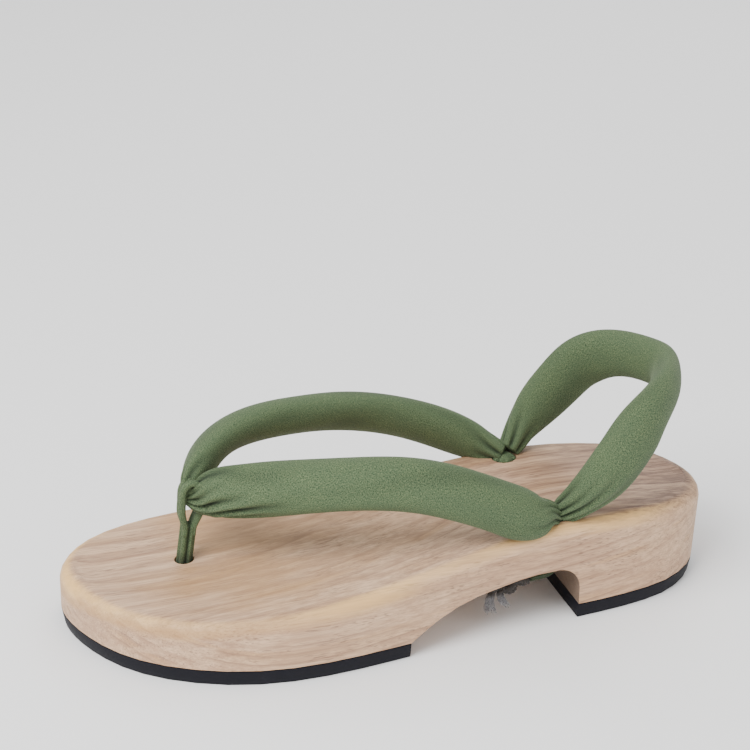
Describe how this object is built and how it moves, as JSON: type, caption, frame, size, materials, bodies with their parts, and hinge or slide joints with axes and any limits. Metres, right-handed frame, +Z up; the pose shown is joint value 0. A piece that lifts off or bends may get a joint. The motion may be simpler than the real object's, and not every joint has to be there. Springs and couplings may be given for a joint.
{
  "type": "geta sandal",
  "caption": "Low wooden sandal for the left foot: built-in heel, rubber treads, padded V strap with a toe post, and a loop behind the heel.",
  "frame": {"origin": "on the floor, at a point of the heel tread's flat underside 30 mm from the heel back, on the long axis", "axes": "+X along the sole to the toe, +Y to the outer side of the left foot, +Z up from the floor"},
  "size_m": [0.25, 0.0995, 0.0917],
  "materials": {
    "wood": "smooth oiled paulownia-like wood with long grain lines",
    "tread_rubber": "matt black sheet rubber",
    "strap_cloth": "finely woven heathered green cloth over padding",
    "twine": "grey fibre twine"
  },
  "bodies": {
    "root": {"base": "wood", "forefoot_tread": "tread_rubber", "heel_tread": "tread_rubber", "straps": "strap_cloth", "toe_post": "strap_cloth", "tie_cord": "twine"}
  },
  "joints": []
}
